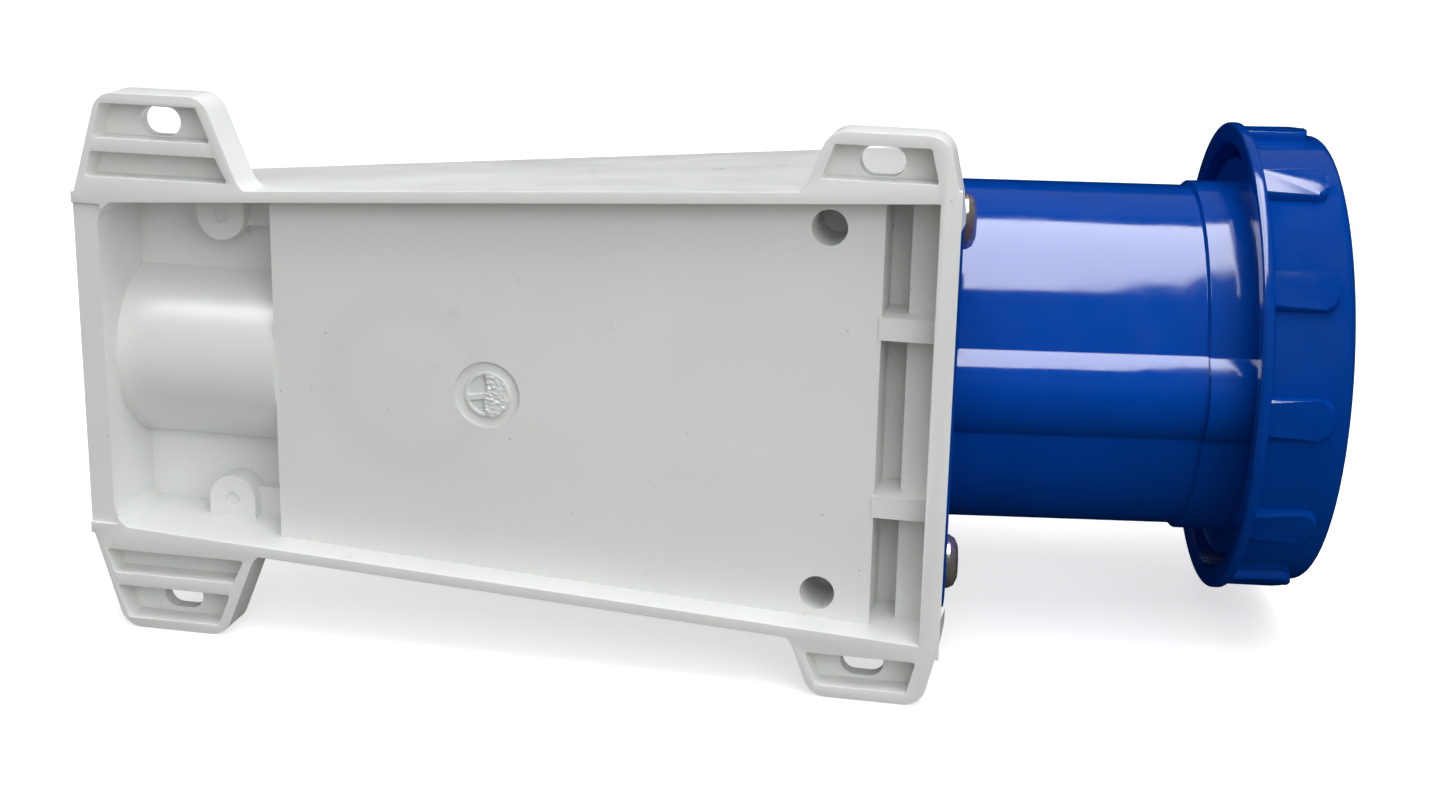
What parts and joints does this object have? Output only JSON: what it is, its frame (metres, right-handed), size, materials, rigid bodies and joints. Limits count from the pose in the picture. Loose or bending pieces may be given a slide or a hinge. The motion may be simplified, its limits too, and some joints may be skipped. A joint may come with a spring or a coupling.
{
  "type": "generator inlet box",
  "caption": "Surface-mounted appliance inlet box with a wedge-shaped housing, slotted fixing ears, a tilted shrouded pin inlet and a turning bayonet locking ring.",
  "frame": {"origin": "centre of the four wall slots, on the wall plane", "axes": "+X along the box towards the inlet mouth, +Y away from the wall, +Z across the box; the wall is on the -Y side"},
  "size_m": [0.2749, 0.1376, 0.122],
  "materials": {
    "housing": "moulded, satin",
    "blue_gloss": "moulded, glossy",
    "carrier": "moulded",
    "rubber": "moulded",
    "zinc": "passivated zinc",
    "steel": "plain",
    "brass": "turned brass",
    "nickel": "nickel-plated brass"
  },
  "bodies": {
    "root": {"back_box": "housing", "cover": "housing", "cover_gasket": "rubber", "cover_inserts": "brass", "cover_screws": "zinc", "inlet_shroud": "blue_gloss", "flange_gasket": "rubber", "flange_inserts": "brass", "flange_screws": "zinc", "contact_carrier": "carrier", "carrier_cap": "carrier", "carrier_screws": "steel", "carrier_seal": "rubber", "pin_line": "nickel", "pin_neutral": "nickel", "pin_earth": "nickel", "pin_pilot": "nickel", "terminal_screws": "steel", "pilot_screw": "steel", "ring_retainer": "steel", "mouth_seal": "rubber"},
    "ring": {"locking_ring": "blue_gloss"}
  },
  "joints": [
    {"name": "ring_turn", "type": "hinge", "parent": "root", "child": "ring", "pos_m": [0.0955, 0.0731, 0], "axis": [0.9877, 0.1564, 0], "range_deg": [-50, 0]}
  ]
}
